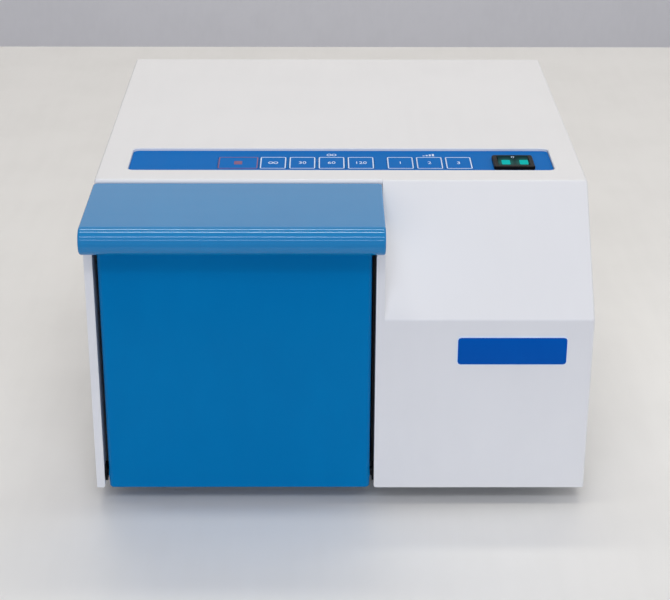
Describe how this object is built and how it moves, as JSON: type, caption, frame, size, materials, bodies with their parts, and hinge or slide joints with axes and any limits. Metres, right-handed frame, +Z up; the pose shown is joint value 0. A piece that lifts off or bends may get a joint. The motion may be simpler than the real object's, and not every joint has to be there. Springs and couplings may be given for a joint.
{
  "type": "paddle blender homogenizer",
  "caption": "Bench paddle blender for sample bags: drop-down front door with lip handle, twin sliding paddles on a crank drive, flat keypad, lit rocker switch.",
  "frame": {"origin": "centre of the footprint at the underside of the feet", "axes": "+X to the viewer's right facing the door, +Y to the rear, +Z up"},
  "size_m": [0.3, 0.344, 0.1923],
  "materials": {
    "case_white": "glossy white powder coat",
    "door_blue": "satin blue powder coat",
    "base_zinc": "zinc plated sheet",
    "stainless": "brushed",
    "cast_alloy": "cast and machined",
    "ground_steel": "ground",
    "bronze": "sintered bronze",
    "screw_steel": "bright plated",
    "black_rubber": "moulded",
    "black_plastic": "moulded",
    "green_lens": "translucent, lit from inside",
    "keypad_film": "printed polyester film",
    "circuit_board": "board",
    "motor_black": "black enamel",
    "magnet": "sintered magnet"
  },
  "bodies": {
    "case": {"case_cover": "case_white", "base_pan": "base_zinc", "rear_panel": "case_white", "power_inlet": "black_plastic", "foot_front_left": "black_rubber", "foot_front_right": "black_rubber", "foot_rear_left": "black_rubber", "foot_rear_right": "black_rubber", "foot_screws": "screw_steel", "base_screws": "screw_steel", "rear_screws": "screw_steel", "chamber_liner": "stainless", "shaft_seals": "black_rubber", "drive_frame": "cast_alloy", "frame_bolts": "screw_steel", "shaft_bushes": "bronze", "crank_bearings": "ground_steel", "motor": "motor_black", "motor_bracket": "cast_alloy", "drive_belt": "black_rubber", "control_board": "circuit_board", "transformer": "motor_black", "keypad_overlay": "keypad_film", "keypad_board": "circuit_board", "keypad_ribbon": "circuit_board", "switch_housing": "black_plastic", "hinge_bushes": "bronze", "catch_magnets": "magnet"},
    "door": {"door_panel": "door_blue", "pressure_plate": "stainless", "door_lip": "door_blue", "bag_clamp_strip": "black_rubber", "hinge_pins": "ground_steel", "catch_plates": "ground_steel", "door_screws": "screw_steel"},
    "left_beater": {"left_paddle": "cast_alloy", "left_paddle_shaft": "ground_steel", "left_guide_rod": "ground_steel", "left_crosshead": "cast_alloy"},
    "right_beater": {"right_paddle": "cast_alloy", "right_paddle_shaft": "ground_steel", "right_guide_rod": "ground_steel", "right_crosshead": "cast_alloy"},
    "crank": {"crankshaft": "ground_steel", "eccentrics": "ground_steel", "crank_pulley": "cast_alloy"},
    "left_rod": {"left_connecting_rod": "cast_alloy"},
    "right_rod": {"right_connecting_rod": "cast_alloy"},
    "motor_rotor": {"motor_shaft": "ground_steel", "motor_pulley": "cast_alloy"},
    "switch_rocker": {"rocker": "green_lens"},
    "fuse_holder": {"fuse_drawer": "black_plastic"},
    "stop_key": {"stop_key": "keypad_film"},
    "time_key_1": {"time_key_1": "keypad_film"},
    "time_key_2": {"time_key_2": "keypad_film"},
    "time_key_3": {"time_key_3": "keypad_film"},
    "time_key_4": {"time_key_4": "keypad_film"},
    "speed_key_1": {"speed_key_1": "keypad_film"},
    "speed_key_2": {"speed_key_2": "keypad_film"},
    "speed_key_3": {"speed_key_3": "keypad_film"}
  },
  "joints": [
    {"name": "door_hinge", "type": "hinge", "parent": "case", "child": "door", "pos_m": [0, -0.145, 0.02], "axis": [1, 0, 0], "range_deg": [0, 75]},
    {"name": "left_paddle_stroke", "type": "slide", "parent": "case", "child": "left_beater", "axis": [0, -1, 0], "range_m": [-0.008, 0.008]},
    {"name": "right_paddle_stroke", "type": "slide", "parent": "case", "child": "right_beater", "axis": [0, -1, 0], "range_m": [-0.008, 0.008]},
    {"name": "crank_spin", "type": "hinge", "parent": "case", "child": "crank", "pos_m": [0, 0.03914, 0.096], "axis": [1, 0, 0], "continuous": true},
    {"name": "left_rod_swing", "type": "hinge", "parent": "crank", "child": "left_rod", "pos_m": [-0.0835, 0.03914, 0.104], "axis": [1, 0, 0], "continuous": true},
    {"name": "right_rod_swing", "type": "hinge", "parent": "crank", "child": "right_rod", "pos_m": [-0.0411, 0.03914, 0.088], "axis": [1, 0, 0], "continuous": true},
    {"name": "motor_spin", "type": "hinge", "parent": "case", "child": "motor_rotor", "pos_m": [0.0084, 0.1135, 0.06], "axis": [1, 0, 0], "continuous": true},
    {"name": "rocker_tilt", "type": "hinge", "parent": "case", "child": "switch_rocker", "pos_m": [0.1081, -0.0567, 0.1888], "axis": [1, 0, 0], "range_deg": [-14, 0]},
    {"name": "fuse_drawer_pull", "type": "slide", "parent": "case", "child": "fuse_holder", "axis": [0, 1, 0], "range_m": [0, 0.015]},
    {"name": "stop_key_press", "type": "slide", "parent": "case", "child": "stop_key", "axis": [0, 0, -1], "range_m": [0, 0.00035], "stiffness_N_per_m": 6000},
    {"name": "time_key_1_press", "type": "slide", "parent": "case", "child": "time_key_1", "axis": [0, 0, -1], "range_m": [0, 0.00035], "stiffness_N_per_m": 6000},
    {"name": "time_key_2_press", "type": "slide", "parent": "case", "child": "time_key_2", "axis": [0, 0, -1], "range_m": [0, 0.00035], "stiffness_N_per_m": 6000},
    {"name": "time_key_3_press", "type": "slide", "parent": "case", "child": "time_key_3", "axis": [0, 0, -1], "range_m": [0, 0.00035], "stiffness_N_per_m": 6000},
    {"name": "time_key_4_press", "type": "slide", "parent": "case", "child": "time_key_4", "axis": [0, 0, -1], "range_m": [0, 0.00035], "stiffness_N_per_m": 6000},
    {"name": "speed_key_1_press", "type": "slide", "parent": "case", "child": "speed_key_1", "axis": [0, 0, -1], "range_m": [0, 0.00035], "stiffness_N_per_m": 6000},
    {"name": "speed_key_2_press", "type": "slide", "parent": "case", "child": "speed_key_2", "axis": [0, 0, -1], "range_m": [0, 0.00035], "stiffness_N_per_m": 6000},
    {"name": "speed_key_3_press", "type": "slide", "parent": "case", "child": "speed_key_3", "axis": [0, 0, -1], "range_m": [0, 0.00035], "stiffness_N_per_m": 6000}
  ],
  "couplings": [
    {"joint": "right_paddle_stroke", "follows": "left_paddle_stroke", "ratio": -1},
    {"joint": "left_rod_swing", "follows": "crank_spin", "ratio": -1},
    {"joint": "right_rod_swing", "follows": "crank_spin", "ratio": -1},
    {"joint": "motor_spin", "follows": "crank_spin", "ratio": 3}
  ]
}
